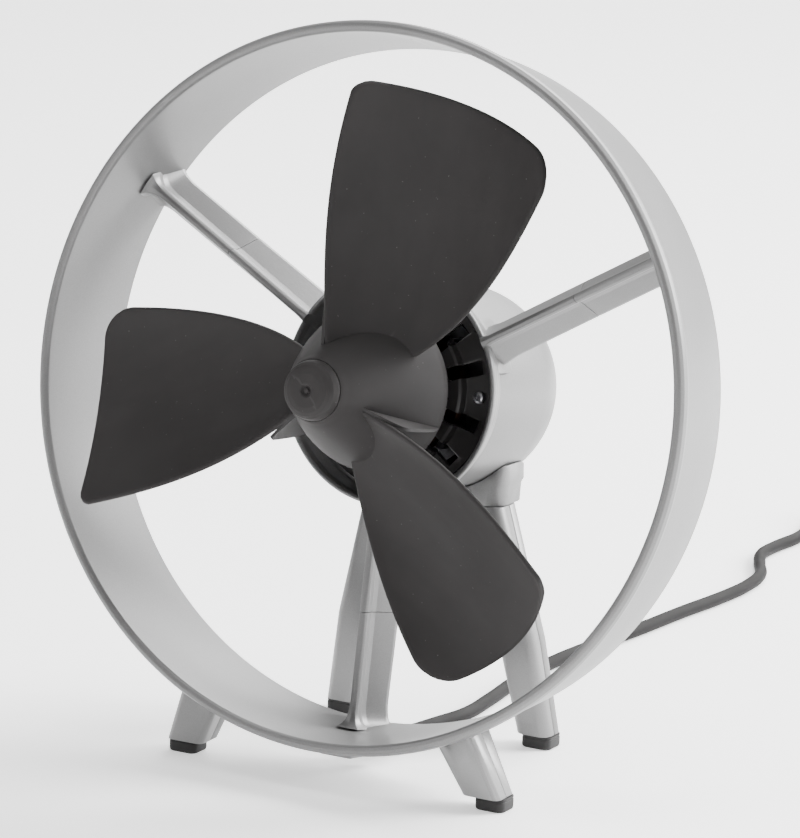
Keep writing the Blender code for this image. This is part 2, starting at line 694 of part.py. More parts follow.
def make_cord():
    slot = "cord_rubber"
    gland_outline = [(-9, 22), (9, 22), (9, 55.8), (-9, 55.8)]
    rings = []
    for z, inset in ((-146.0, 0), (-161.4, 0), (-163.6, 1.6)):
        ring = []
        for x, y in gland_outline:
            ring.append((x * MM - math.copysign(inset, x) * MM, (y + (inset * 2 if y < 30 else 0)) * MM, z * MM))
        rings.append(ring)
    gland = loft("cable_gland", rings, "silver", fan_axis)
    cut(gland, bpy.data.objects["leg_saddle_cutter"])
    cut(gland, rod("gland_bore", 5.0 * MM, 12 * MM, None, fan_axis, (0, 51.4 * MM, GLAND_Z)))
    relief = scaled([(5.4, 58.8), (5.4, 56.1), (4.7, 56.1), (4.7, 46.0), (3.5, 46.0), (3.5, 78)])
    relief = [(4.0 * MM, 78 * MM), *relief[:-1], (3.5 * MM, 78 * MM)]
    turned("strain_relief", relief, "cord_rubber", fan_axis, 16, (0, 0, GLAND_Z))
    lead = [Vector((0, LEAD_Y, z * MM)) for z in (-151.5, -120, -90, -58)]
    tube("inner_lead", lead, 2.1 * MM, slot, fan_axis)
    start = [ring_to_stand(0, y * MM, GLAND_Z) / MM for y in (47, 58, 70, 82)]
    tube("cord_run", smooth_route(start + CORD_ROUTE), CORD_RADIUS, slot, stand)
    tube("cord_tail", smooth_route(TAIL_ROUTE), CORD_RADIUS, slot, stand)
    low, high = COIL_RADIUS - COIL_HALF_WIDTH, COIL_RADIUS + COIL_HALF_WIDTH
    top, edge = COIL_HEIGHT, CORD_RADIUS * 0.6
    outline = [(high - edge, top), (high, top - edge), (high, edge), (high - edge, 0)]
    outline += [(low + edge, 0), (low, edge), (low, top - edge), (low + edge, top)]
    coil = turned("cord_coil", outline, slot, stand, 36, (*COIL_CENTRE, 0))
    coil.rotation_euler = (0, 0, 0)


def make_plug():
    """A flat two-pin mains plug that lies on the table."""
    middle = (80.0 * MM, 494 * MM, 7.2 * MM)
    outline = []
    for y, hx, hz in ((20, 5.2, 5.2), (8, 7.5, 6.4), (-4, 13.2, 6.9), (-17, 17.2, 7.1), (-18.5, 16.4, 6.4)):
        ring = [(x * MM, y * MM, z * MM) for x, z in rounded(hx, hz, min(hz, hx) * 0.7, 3)]
        outline.append(ring)
    loft("plug_body", outline, "cord_rubber", stand, middle)
    for side, x in (("left", -9.5 * MM), ("right", 9.5 * MM)):
        at = (middle[0] + x, middle[1] - (18.8 + 9.5) * MM, middle[2])
        rod(f"plug_pin_{side}", 2.0 * MM, 19 * MM, "bronze", stand, at, sides=12)


def make_spoke_cover():
    """The strip that closes the groove in the back of the lower spoke."""
    rings = []
    for radius, back in ((56.5, 56.9), (146.5, 53.4)):
        z = -radius * MM
        rings.append([(x * MM, y * MM, z) for x, y in ((-2.8, back - 1.6), (2.8, back - 1.6), (2.8, back), (-2.8, back))])
    loft("lower_spoke_cover", rings, "silver", fan_axis)


make_ring()
make_collar()
make_housing()
make_motor_cup()
make_rear_bracket()
make_stator()
make_motor_fasteners()
make_bearings()
make_rotor()
make_spinner()
make_blades()
make_switch()
make_legs()
make_yoke()
make_cord()
make_plug()
make_spoke_cover()
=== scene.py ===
"""Detailed visual model of a desk fan with an open ring guard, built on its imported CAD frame.

Blender 4.5, metres, +Z up, air blown towards -Y. Most pieces are modelled in the ring's own frame:
x to the right, y backwards along the fan axis from the ring's front plane, z up. Legs, feet, cord
and plug are modelled in the stand's frame: level, with y from the point under the ring's front.
"""

import math

import bmesh
import bpy
from mathutils import Matrix, Vector


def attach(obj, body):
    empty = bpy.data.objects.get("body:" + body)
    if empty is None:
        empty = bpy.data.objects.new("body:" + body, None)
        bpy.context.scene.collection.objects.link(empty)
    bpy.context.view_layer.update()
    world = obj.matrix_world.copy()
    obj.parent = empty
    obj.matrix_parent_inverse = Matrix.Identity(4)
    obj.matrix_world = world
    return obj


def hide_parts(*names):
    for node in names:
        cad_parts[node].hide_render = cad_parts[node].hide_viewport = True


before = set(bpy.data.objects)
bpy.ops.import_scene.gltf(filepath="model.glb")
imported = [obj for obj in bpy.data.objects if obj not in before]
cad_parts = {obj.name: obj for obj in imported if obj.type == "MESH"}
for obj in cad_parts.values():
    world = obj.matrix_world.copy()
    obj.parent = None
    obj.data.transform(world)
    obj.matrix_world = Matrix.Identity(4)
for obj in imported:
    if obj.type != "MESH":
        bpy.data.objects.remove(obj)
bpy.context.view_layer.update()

MM = 0.001
GAP = 0.3 * MM  # between neighbouring pieces

# Driving dimensions, the same as the CAD model's
TILT = math.radians(9.0)
AXIS_HEIGHT = 176.3 * MM
AXIS_Y = -62.5 * MM
RING_RADIUS = 160.0 * MM
SPOKE_ANGLES = {"right": 30.0, "left": 150.0, "lower": 270.0}
SPOKE_JOINT = 100.0 * MM
SPOKE_HALF = 8.3 * MM
SPOKE_NOSE = 34.5 * MM
HOUSING_RADIUS = 46.4 * MM
HOUSING_FRONT = 51.1 * MM
HOUSING_WALL = 2.2 * MM
DOME_START = 99.0 * MM
BLADE_TIP = 134.3 * MM
BLADE_ROOT = 16.5 * MM
BLADE_THICKNESS = 2.6 * MM
BLADES = 3
CUP_SCREW_ANGLES = (1.0, 121.0, 241.0)
CUP_SCREW_RADIUS = 41.0 * MM
CUP_SLOTS_AFTER_SCREW = (18.0, 44.0, 76.0, 102.0)
FOOT_HEIGHT = 6.0 * MM
FRONT_FOOT = (78.0 * MM, 1.3 * MM)
REAR_FOOT = (51.0 * MM, 97.2 * MM)
LEG_WALL = 2.2 * MM
CORD_RADIUS = 3.2 * MM
GLAND_Z = -158.7 * MM
GLAND_BACK = 56  # mm, where the cord leaves the gland
COIL_CENTRE = (28.0 * MM, 575.0 * MM)
COIL_RADIUS = 36.0 * MM  # of the middle of the turns
PLUG_MIDDLE = (80.0, 494, 7.2)  # mm
KNOB_Y = 150 * MM
KNOB_FLUTES = 24

RING = Matrix.Translation((0, AXIS_Y, AXIS_HEIGHT)) @ Matrix.Rotation(-TILT, 4, "X")
STAND = Matrix.Translation((0, AXIS_Y, 0))


# Camera -------------------------------------------------------------------------------------------

CAMERA_AZIMUTH = math.radians(29.3607)  # to the right of the fan's front
CAMERA_ELEVATION = math.radians(12.2867)
CAMERA_ROLL = math.radians(1.7245)
CAMERA_DISTANCE = 2.0181
CAMERA_AIM = (0.0114, -0.0061)  # right of and above the ring's middle, as shares of the distance
CAMERA_LENS = 199.966
SENSOR = 36.0


def make_camera():
    target = Vector((0, AXIS_Y, AXIS_HEIGHT))
    level = math.cos(CAMERA_ELEVATION)
    back = Vector(
        (
            math.sin(CAMERA_AZIMUTH) * level,
            -math.cos(CAMERA_AZIMUTH) * level,
            math.sin(CAMERA_ELEVATION),
        )
    )
    right = (-back).cross(Vector((0, 0, 1))).normalized()
    up = right.cross(-back)
    forward = (-back + CAMERA_AIM[0] * right + CAMERA_AIM[1] * up).normalized()
    right = forward.cross(Vector((0, 0, 1))).normalized()
    up = right.cross(forward)
    c, s = math.cos(CAMERA_ROLL), math.sin(CAMERA_ROLL)
    right, up = c * right + s * up, c * up - s * right
    data = bpy.data.cameras.new("camera")
    data.lens, data.sensor_width = CAMERA_LENS, SENSOR
    camera = bpy.data.objects.new("camera", data)
    turn = Matrix((right, up, -forward)).transposed().to_4x4()
    camera.matrix_world = Matrix.Translation(target + back * CAMERA_DISTANCE) @ turn
    bpy.context.scene.collection.objects.link(camera)
    bpy.context.scene.camera = camera


make_camera()


# Materials ----------------------------------------------------------------------------------------


class Finish:
    """A node material that is put together step by step."""

    def __init__(self, name, roughness, metallic=0.0, specular=0.5):
        self.material = bpy.data.materials.new(name)
        self.material.use_nodes = True
        self.tree = self.material.node_tree
        self.shader = self.tree.nodes["Principled BSDF"]
        self.shader.inputs["Roughness"].default_value = roughness
        self.shader.inputs["Metallic"].default_value = metallic
        self.shader.inputs["Specular IOR Level"].default_value = specular
        self.coordinates = self.tree.nodes.new("ShaderNodeTexCoord")
        self.normal = None

    def link(self, source, target):
        self.tree.links.new(source, target)

    def noise(self, scale, detail=3.0, stretch=(1, 1, 1)):
        """Noise over the piece's own coordinates; scale is in lumps per metre."""
        mapping = self.tree.nodes.new("ShaderNodeMapping")
        mapping.inputs["Scale"].default_value = stretch
        node = self.tree.nodes.new("ShaderNodeTexNoise")
        node.inputs["Scale"].default_value = scale
        node.inputs["Detail"].default_value = detail
        self.link(self.coordinates.outputs["Object"], mapping.inputs["Vector"])
        self.link(mapping.outputs["Vector"], node.inputs["Vector"])
        return node.outputs["Fac"]

    def ramp(self, source, stops):
        node = self.tree.nodes.new("ShaderNodeValToRGB")
        node.color_ramp.elements.remove(node.color_ramp.elements[1])
        for i, (at, colour) in enumerate(stops):
            if i == 0:
                element = node.color_ramp.elements[0]
                element.position = at
            else:
                element = node.color_ramp.elements.new(at)
            element.color = (*colour, 1)
        self.link(source, node.inputs["Fac"])
        return node.outputs["Color"]

    def blend(self, share, first, second, mode="MIX"):
        node = self.tree.nodes.new("ShaderNodeMix")
        node.data_type, node.blend_type = "RGBA", mode
        for value, socket in ((share, node.inputs[0]), (first, node.inputs[6]), (second, node.inputs[7])):
            if isinstance(value, bpy.types.NodeSocket):
                self.link(value, socket)
            else:
                socket.default_value = value if socket == node.inputs[0] else (*value, 1)
        return node.outputs[2]

    def spread(self, source, low, high, from_low=0.3, from_high=0.7):
        node = self.tree.nodes.new("ShaderNodeMapRange")
        limits = {"From Min": from_low, "From Max": from_high, "To Min": low, "To Max": high}
        for name, value in limits.items():
            node.inputs[name].default_value = value
        self.link(source, node.inputs["Value"])
        return node.outputs["Result"]

    def edges(self, low, high):
        """1 on sharp outward edges and 0 elsewhere."""
        geometry = self.tree.nodes.new("ShaderNodeNewGeometry")
        return self.spread(geometry.outputs["Pointiness"], 0.0, 1.0, low, high)

    def bump(self, source, depth, strength=1.0):
        node = self.tree.nodes.new("ShaderNodeBump")
        node.inputs["Distance"].default_value = depth
        node.inputs["Strength"].default_value = strength
        self.link(source, node.inputs["Height"])
        if self.normal is not None:
            self.link(self.normal, node.inputs["Normal"])
        self.normal = node.outputs["Normal"]

    def done(self, colour, roughness=None):
        self.link(colour, self.shader.inputs["Base Color"])
        if roughness is not None:
            self.link(roughness, self.shader.inputs["Roughness"])
        if self.normal is not None:
            self.link(self.normal, self.shader.inputs["Normal"])
        return self.material


def grey(value, warmth=0.0):
    return (value * (1 + warmth), value, value)


def satin_paint():
    """Silver paint on moulded plastic: fine flake, faint flow marks, and a painted highlight on sharp
    edges.
    """
    f = Finish("silver", 0.4, 0.35)
    flow = f.noise(9, 4, (1, 1, 0.5))
    flake = f.noise(2600, 2)
    peel = f.noise(420, 3)
    base = f.ramp(flow, [(0.30, grey(0.165, 0.004)), (0.70, grey(0.195, 0.003))])
    sparkle = f.ramp(flake, [(0.38, grey(0.86)), (0.62, grey(1.0))])
    colour = f.blend(1.0, base, sparkle, "MULTIPLY")
    # Painted highlight: sharp edges are blended towards a lighter grey.
    colour = f.blend(f.spread(f.edges(0.52, 0.60), 0.0, 0.35, 0.0, 1.0), colour, grey(0.36))
    f.bump(peel, 0.05 * MM, 0.6)
    f.bump(flake, 0.01 * MM, 0.5)
    return f.done(colour, f.spread(flow, 0.34, 0.44))


def soft_rubber():
    """Dark soft-touch rubber: dull, with dust specks, rub marks, a matt grain and a painted highlight on
    sharp edges.
    """
    f = Finish("soft_rubber", 0.7, specular=0.24)
    cloud = f.noise(16, 5)
    streak = f.noise(60, 4, (1, 0.35, 0.35))
    grain = f.noise(1900, 2)
    base = f.ramp(cloud, [(0.30, grey(0.0165, 0.11)), (0.72, grey(0.0215, 0.10))])
    marks = f.ramp(streak, [(0.46, (0, 0, 0)), (0.78, grey(0.006, 0.04))])
    colour = f.blend(1.0, base, marks, "ADD")
    speck = f.ramp(f.noise(700, 1), [(0.762, (0, 0, 0)), (0.80, grey(0.035))])
    colour = f.blend(1.0, colour, speck, "ADD")
    # Painted highlight: sharp edges are blended towards a lighter warm grey.
    colour = f.blend(f.spread(f.edges(0.53, 0.62), 0.0, 0.4, 0.0, 1.0), colour, grey(0.045, 0.04))
    f.bump(grain, 0.03 * MM, 0.7)
    f.bump(cloud, 0.25 * MM, 0.3)
    return f.done(colour, f.spread(streak, 0.58, 0.72))


def moulded(name, low, high, roughness, grain=1300, depth=0.05, warmth=0.03, specular=0.36):
    """A dark moulded plastic or rubber with an eroded texture and a painted highlight on sharp edges."""
    f = Finish(name, roughness, specular=specular)
    cloud = f.noise(40, 4)
    texture = f.noise(grain, 3)
    colour = f.ramp(cloud, [(0.32, grey(low, warmth)), (0.70, grey(high, warmth))])
    # Painted highlight: sharp edges are blended towards a grey 2.6 times lighter.
    colour = f.blend(f.spread(f.edges(0.53, 0.62), 0.0, 0.45, 0.0, 1.0), colour, grey(high * 2.6, warmth))
    f.bump(texture, depth * MM, 0.7)
    return f.done(colour, f.spread(cloud, roughness - 0.07, roughness + 0.07))


def metal(name, low, high, roughness, stretch=(1, 1, 1)):
    """Bare metal: brushed or turned marks, and duller patches."""
    f = Finish(name, roughness, 1.0)
    lines = f.noise(900, 4, stretch)
    patch = f.noise(70, 4)
    colour = f.ramp(patch, [(0.32, low), (0.70, high)])
    f.bump(lines, 0.02 * MM, 0.5)
    return f.done(colour, f.spread(patch, roughness - 0.08, roughness + 0.1))


finishes = {
    "silver": satin_paint(),
    "soft_rubber": soft_rubber(),
    "dark_plastic": moulded("dark_plastic", 0.024, 0.034, 0.34, 1500, 0.03, 0.06, 0.5),
    "foot_rubber": moulded("foot_rubber", 0.012, 0.018, 0.66),
    "steel": metal("steel", (0.50, 0.50, 0.52), (0.64, 0.64, 0.66), 0.30, (1, 6, 1)),
    "lamination": metal("lamination", (0.16, 0.16, 0.17), (0.26, 0.26, 0.27), 0.45, (0.2, 14, 0.2)),
    "copper": metal("copper", (0.030, 0.017, 0.012), (0.050, 0.026, 0.018), 0.45, (8, 1, 8)),
    "bronze": metal("bronze", (0.50, 0.34, 0.14), (0.60, 0.42, 0.19), 0.33),
    "cord_rubber": moulded("cord_rubber", 0.008, 0.012, 0.64, 900, 0.04, 0.05, 0.12),
}


# Mesh tools ---------------------------------------------------------------------------------------


def fillet(points, radius, closed=True, steps=4, least=8):
    """The outline with rounded corners, in metres. Turns under the least, in degrees, stay as they are."""
    out = []
    count = len(points)
    for i, point in enumerate(points):
        here = Vector(point)
        before = Vector(points[i - 1]) - here
        after = Vector(points[(i + 1) % count]) - here
        end = not closed and i in (0, count - 1)
        turn = math.pi - before.angle(after)
        if end or turn < math.radians(least):
            out.append(tuple(here))
            continue
        back = radius / math.tan((math.pi - turn) / 2)
        back = min(back, 0.46 * before.length, 0.46 * after.length)
        start, stop = here + before.normalized() * back, here + after.normalized() * back
        for k in range(steps + 1):
            t = k / steps
            out.append(tuple((1 - t) ** 2 * start + 2 * t * (1 - t) * here + t * t * stop))
    return out


def scaled(points):
    return [(a * MM, b * MM) for a, b in points]


def spline(points, per_span):
    """Points on a Catmull-Rom curve through the given ones."""
    route = [Vector(p) for p in points]
    ends = [route[0] * 2 - route[1], *route, route[-1] * 2 - route[-2]]
    out = []
    for a, b, c, d in zip(ends, ends[1:], ends[2:], ends[3:]):
        for i in range(per_span):
            t = i / per_span
            square = (2 * a - 5 * b + 4 * c - d) * t**2
            cube = (3 * b - a - 3 * c + d) * t**3
            out.append(0.5 * (2 * b + (c - a) * t + square + cube))
    out.append(route[-1])
    return out


def arc(centre, radius, start, end, count):
    """Points (radius, y) of an arc in an outline; angles in degrees from the radial direction."""
    out = []
    for i in range(count + 1):
        a = math.radians(start + (end - start) * i / count)
        out.append((centre[0] + radius * math.cos(a), centre[1] + radius * math.sin(a)))
    return out


def turned(outline, steps=160):
    """A mesh of an outline of (radius, distance along y), turned about y.

    It is closed on itself, or by the axis when its first point lies there.
    """
    bm = bmesh.new()
    rings = []
    for i in range(steps):
        a = 2 * math.pi * i / steps
        rings.append([bm.verts.new((r * math.cos(a), y, r * math.sin(a))) for r, y in outline])
    solid = outline[0][0] == 0
    for ring, other in zip(rings, rings[1:] + rings[:1]):
        for j in range(len(outline) - solid):
            k = (j + 1) % len(outline)
            bm.faces.new((ring[j], other[j], other[k], ring[k]))
    bmesh.ops.remove_doubles(bm, verts=bm.verts, dist=0.002 * MM)
    return bm


def loft(rings):
    """A closed solid through rings of points that each have the same number of points."""
    bm = bmesh.new()
    loops = [[bm.verts.new(p) for p in ring] for ring in rings]
    for a, b in zip(loops, loops[1:]):
        for i in range(len(a)):
            j = (i + 1) % len(a)
            bm.faces.new((a[i], a[j], b[j], b[i]))
    bm.faces.new(loops[0][::-1])
    bm.faces.new(loops[-1])
    return bm


def mesh_of(name, bm):
    bmesh.ops.recalc_face_normals(bm, faces=bm.faces)
    mesh = bpy.data.meshes.new(name)
    bm.to_mesh(mesh)
    bm.free()
    return mesh


def soften(mesh, angle=38):
    mesh.shade_smooth()
    mesh.set_sharp_from_angle(angle=math.radians(angle))


def bake(o):
    """Applies the object's modifiers to its mesh."""
    bpy.context.view_layer.update()
    graph = bpy.context.evaluated_depsgraph_get()
    mesh = bpy.data.meshes.new_from_object(o.evaluated_get(graph))
    o.modifiers.clear()
    o.data = mesh
    soften(mesh)


def cut(o, cutters):
    """Cuts solids, which are (mesh, matrix) pairs, out of a piece."""
    tools = []
    for bm, matrix in cutters:
        tool = bpy.data.objects.new("cutter", mesh_of("cutter", bm))
        tool.matrix_world = matrix
        bpy.context.scene.collection.objects.link(tool)
        tools.append(tool)
        boolean = o.modifiers.new("Cut", "BOOLEAN")
        boolean.operation, boolean.solver, boolean.object = "DIFFERENCE", "EXACT", tool
    bake(o)
    for tool in tools:
        bpy.data.objects.remove(tool)


def bevel(o, width, segments=2, angle=32):
    edge = o.modifiers.new("Bevel", "BEVEL")
    edge.width, edge.segments, edge.limit_method = width, segments, "ANGLE"
    edge.angle_limit = math.radians(angle)
    edge.harden_normals = True
    bake(o)


def piece(name, bm, slot, body="frame", nodes=(), matrix=RING):
    mesh = mesh_of(name, bm)
    soften(mesh)
    mesh.materials.append(finishes[slot])
    o = bpy.data.objects.new(name, mesh)
    o.matrix_world = matrix
    bpy.context.scene.collection.objects.link(o)
    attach(o, body)
    if nodes:
        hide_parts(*nodes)
    return o


def about_axis(degrees):
    """Turns a part that lies along +x to an angle seen from the front."""
    return Matrix.Rotation(-math.radians(degrees), 4, "Y")


def polar(radius, degrees, y):
    a = math.radians(degrees)
    return Vector((radius * math.cos(a), y, radius * math.sin(a)))


def block(size):
    bm = bmesh.new()
    bmesh.ops.create_cube(bm, size=1)
    bmesh.ops.scale(bm, vec=size, verts=bm.verts)
    return bm


def stadium(half_width, low, high, depth, count=10):
    """A slot cutter along +x from low to high, rounded at its low end, and deep along y."""
    points = []
    for i in range(count + 1):
        a = math.pi / 2 + math.pi * i / count
        points.append((low + half_width + half_width * math.cos(a), half_width * math.sin(a)))
    points += [(high, -half_width), (high, half_width)]
    return loft([[(x, y, z) for x, z in points] for y in (-depth / 2, depth / 2)])


# Cord, its strain relief, coil tie and plug ----------------------------------------------------------

CORD_ROUTE = [
    (0.6, 92, 3.6),
    (3.5, 112, 3.3),
    (1.6, 140, 3.3),
    (-2.6, 175, 3.3),
    (-3.8, 214, 3.3),
    (-1.2, 252, 3.3),
    (3.5, 292, 3.3),
    (7.0, 336, 3.3),
    (11.2, 376, 3.3),
    (11.8, 404, 3.3),
    (8.0, 428, 3.3),
    (-2.0, 449, 3.3),
    (-9.6, 468, 3.3),
    (-10.6, 488, 3.3),
    (-9.0, 512, 3.3),
    (-12.5, 536, 3.3),
    (-18.0, 555, 3.4),
]
TAIL_ROUTE = [(74.0, 555, 3.4), (77.5, 541, 3.5), (79.5, 526, 4.6), (80.0, 514.5, 6.2)]
COIL_ENTRY = 165.0  # degrees, where the cord has joined the lowest turn
LAYER_Z = (3.3 * MM, 9.8 * MM)  # of the cord's middle in the lower and upper layers
OUTER_TURN, INNER_TURN = 42.6 * MM, 29.4 * MM
TURNS_DOWN, TURNS_CLIMB, TURNS_UP, TURNS_ALL = 2.0, 2.3, 4.30, 4.5236
POINTS_PER_TURN = 16
FIRST_TURN, LAST_TURN = -0.045, TURNS_ALL - 0.04  # where the loop's points start and stop
RUN_IN_RADIUS, RUN_IN_TURN = 49.97 * MM, 0.107  # the cord closes in on the outer turn over this share
SHRINK, GROW = 6.5 * MM, 6.8 * MM  # of the radius per turn, going down and coming back
OVERHANG, DROP = 7.0 * MM, 6.6 * MM  # of the cord's end, outside the outer turn and down to the floor
TUBE_STEPS = 6


def ease(t):
    t = min(max(t, 0.0), 1.0)
    return t * t * (3 - 2 * t)


def coil_point(turn):
    """The cord's middle after so many turns of the coil, which starts on the lowest outer turn."""
    if turn < 0:
        radius = OUTER_TURN + (RUN_IN_RADIUS - OUTER_TURN) * (turn / RUN_IN_TURN) ** 2
        z = LAYER_Z[0]
    elif turn < TURNS_CLIMB:
        radius = max(OUTER_TURN - SHRINK * turn, INNER_TURN)
        z = LAYER_Z[0] + (LAYER_Z[1] - LAYER_Z[0]) * ease((turn - TURNS_DOWN) / (TURNS_CLIMB - TURNS_DOWN))
    elif turn < TURNS_UP:
        radius = INNER_TURN + GROW * (turn - TURNS_CLIMB)
        z = LAYER_Z[1]
    else:
        share = (turn - TURNS_UP) / (TURNS_ALL - TURNS_UP)
        a = math.pi / 2 * (1 - ease(share))
        radius = OUTER_TURN + OVERHANG * math.cos(a)
        z = LAYER_Z[0] + DROP * math.sin(a)
    angle = math.radians(COIL_ENTRY - 360 * turn)
    return Vector((COIL_CENTRE[0] + radius * math.cos(angle), COIL_CENTRE[1] + radius * math.sin(angle), z))


def ring_to_row(x, y, z):
    return RING @ Vector((x, y, z))


def cord_points():
    """The whole centreline, in the row frame."""
    points = [ring_to_row(0, y * MM, GLAND_Z) for y in (GLAND_BACK, 64, 73, 82)]
    points += [STAND @ (Vector(p) * MM) for p in CORD_ROUTE]
    turn = FIRST_TURN
    while turn < LAST_TURN:
        points.append(STAND @ coil_point(turn))
        turn += 1 / POINTS_PER_TURN
    points += [STAND @ (Vector(p) * MM) for p in TAIL_ROUTE]
    return points


def tube(name, points, radius, slot, body="frame", nodes=()):
    curve = bpy.data.curves.new(name, "CURVE")
    curve.dimensions = "3D"
    curve.bevel_depth, curve.bevel_resolution = radius, TUBE_STEPS
    curve.resolution_u = TUBE_STEPS
    curve.use_fill_caps = True
    line = curve.splines.new("BEZIER")
    line.bezier_points.add(len(points) - 1)
    for at, p in zip(line.bezier_points, points):
        at.co = p
        at.handle_left_type = at.handle_right_type = "AUTO"
    curve.materials.append(finishes[slot])
    o = bpy.data.objects.new(name, curve)
    bpy.context.scene.collection.objects.link(o)
    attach(o, body)
    if nodes:
        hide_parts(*nodes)
    return o


def make_strain_relief():
    """A tapered sleeve with flex grooves, on the cord where it leaves the gland."""
    outer = [(3.6, 78), (4.0, 78)]
    y = 76.6
    while y > 61.5:
        radius = 4.05 + (78 - y) * 0.058
        outer += [(radius, y), (radius + 0.05, y - 0.9), (radius - 0.55, y - 1.2), (radius - 0.55, y - 1.9)]
        y -= 2.2
    outer += [(5.2, 59.6), (5.4, 58.8), (5.4, 56.1), (4.7, 56.1), (4.7, 46.0), (3.5, 46.0)]
    matrix = RING @ Matrix.Translation((0, 0, GLAND_Z))
    outline = fillet(scaled(outer), 0.25 * MM, steps=2)
    bm = turned(outline, 40)
    return piece("strain_relief_sleeve", bm, "cord_rubber", nodes=["strain_relief"], matrix=matrix)


def rounded(half_x, half_y, radius, count=8):
    """Points of a rounded rectangle, anticlockwise from the middle of the right side."""
    points = [(half_x, 0)]
    for corner, (sx, sy) in enumerate(((1, 1), (-1, 1), (-1, -1), (1, -1))):
        for i in range(count + 1):
            a = math.pi / 2 * (corner + i / count)
            x = sx * (half_x - radius) + radius * math.cos(a)
            y = sy * (half_y - radius) + radius * math.sin(a)
            points.append((x, y))
        if corner == 1:
            points.append((-half_x, 0))
    return points


def make_plug():
    middle = Vector(PLUG_MIDDLE) * MM
    profile = [(20, 4.4, 4.4), (19.4, 5.0, 5.0), (14, 5.6, 5.5), (8, 7.5, 6.4), (2, 10.6, 6.75)]
    profile += [(-4, 13.2, 6.9), (-8, 14.6, 6.95), (-12, 16.2, 7.05), (-17, 17.2, 7.1)]
    profile += [(-18.1, 17.0, 6.95), (-18.5, 16.2, 6.2)]
    rings = []
    for y, hx, hz in profile:
        ring = rounded(hx * MM, hz * MM, min(hz, hx) * 0.72 * MM, 6)
        rings.append([(x, y * MM, z) for x, z in ring])
    matrix = STAND @ Matrix.Translation(middle)
    body = piece("plug_shell", loft(rings), "cord_rubber", nodes=["plug_body"], matrix=matrix)
    grips = []
    for side in (-1, 1):
        for i in range(4):
            at = Matrix.Translation((side * (13.6 - 0.9 * i) * MM, (-2 + 2.6 * i) * MM, 0))
            outwards = Matrix.Translation((side * 0.6 * MM, 0, 0))
            grips.append((block((2.2 * MM, 1.1 * MM, 9 * MM)), matrix @ at @ outwards))
    cut(body, grips)
    pins = []
    for side, x in (("left", -9.5 * MM), ("right", 9.5 * MM)):
        outline = [(0, 9.5), (2.0, 9.5), (2.0, -8.2), (1.2, -9.5), (0, -9.5)]
        at = STAND @ Matrix.Translation(middle + Vector((x, -28.3 * MM, 0)))
        bm = turned(fillet(scaled(outline), 0.6 * MM, closed=False), 32)
        pins.append(piece(f"plug_contact_{side}", bm, "bronze", nodes=[f"plug_pin_{side}"], matrix=at))
        sleeve = [(1.5, 9.5), (2.05, 9.5), (2.05, 0.2), (1.5, 0.2)]
        pins.append(piece(f"plug_sleeve_{side}", turned(scaled(sleeve), 32), "dark_plastic", matrix=at))
    return [body, *pins]


def make_tie():
    """A flat strap round the coil's bundle, with a small lock."""
    width, radius = 4.5 * MM, COIL_RADIUS
    half, low, high = 10.9, 0.15, 13.9
    section = fillet(scaled([(-half, low), (half, low), (half, high), (-half, high)]), 2.6 * MM)
    outer = [(x * 1.06, z * 1.05 - 0.05 * MM) for x, z in section]
    bm = bmesh.new()
    corners = []
    for (xa, za), (xb, zb) in zip(section, outer):
        za, zb = max(za, 0.05 * MM), max(zb, 0.02 * MM)
        points = ((xa, -width / 2, za), (xb, -width / 2, zb), (xb, width / 2, zb), (xa, width / 2, za))
        corners.append([bm.verts.new(p) for p in points])
    for a, b in zip(corners, corners[1:] + corners[:1]):
        for i in range(4):
            j = (i + 1) % 4
            bm.faces.new((a[i], b[i], b[j], a[j]))
    turn = Matrix.Rotation(math.radians(-60), 4, "Z")
    at = STAND @ Matrix.Translation((*COIL_CENTRE, 0)) @ turn @ Matrix.Translation((radius, 0, 0))
    piece("coil_tie", bm, "dark_plastic", matrix=at)
    plan = rounded(3.4 * MM, 3.2 * MM, 0.8 * MM, 4)
    lock = [[(x, y, z) for x, y in plan] for z in (14.0 * MM, 16.4 * MM)]
    piece("coil_tie_lock", loft(lock), "dark_plastic", matrix=at)


relief = make_strain_relief()
plug = make_plug()
CORD_NODES = ["cord_run", "cord_coil", "cord_tail"]
cord = tube("mains_cord", cord_points(), CORD_RADIUS, "cord_rubber", nodes=CORD_NODES)
make_tie()


# Ring guard and spokes ------------------------------------------------------------------------------

RING_OUTER = [(152.2, 54.7), (152.8, 54.1), (155.9, 30), (157.8, 12), (158.2, 8.4), (158.7, 7.4)]
RING_OUTER += [(159.7, 6.4), (160.0, 4.6), (159.7, 2.2), (158.6, 0.5), (157.2, 0.0)]
RING_INNER = [(155.6, 0.5), (154.8, 1.8), (154.6, 4.0), (152.7, 30), (149.6, 54.1), (150.2, 54.7)]


# Radius, widening and growth of a spoke where it flares into the ring
SPOKE_FLARE = [(138, 1.0, 0), (142, 1.0, 0.05), (145, 1.04, 0.25), (147, 1.09, 0.6), (148.6, 1.17, 1.1)]
SPOKE_FLARE += [(149.8, 1.29, 1.7), (150.8, 1.42, 2.5), (151.6, 1.58, 3.4)]


def spoke_section(widen, grow, back):
    """Half-round nose, a crease behind it and flanks that widen to a flat back, as (x, y)."""
    half = SPOKE_HALF * widen
    right = [
        (1.4 * MM * widen + grow, SPOKE_NOSE + 0.4 * MM - grow),
        (2.2 * MM * widen + grow, SPOKE_NOSE + 2.0 * MM),
        (1.7 * MM * widen + grow, SPOKE_NOSE + 5.5 * MM),
        (2.6 * MM * widen + grow, SPOKE_NOSE + 8.0 * MM),
        (half - 0.3 * MM, back - 2.6 * MM),
        (half, back - 1.0 * MM),
        (half - 0.8 * MM, back),
    ]
    left = [(-x, y) for x, y in reversed(right)]
    return fillet([(0, SPOKE_NOSE - grow), *right, *left], 0.7 * MM, steps=3, least=0)


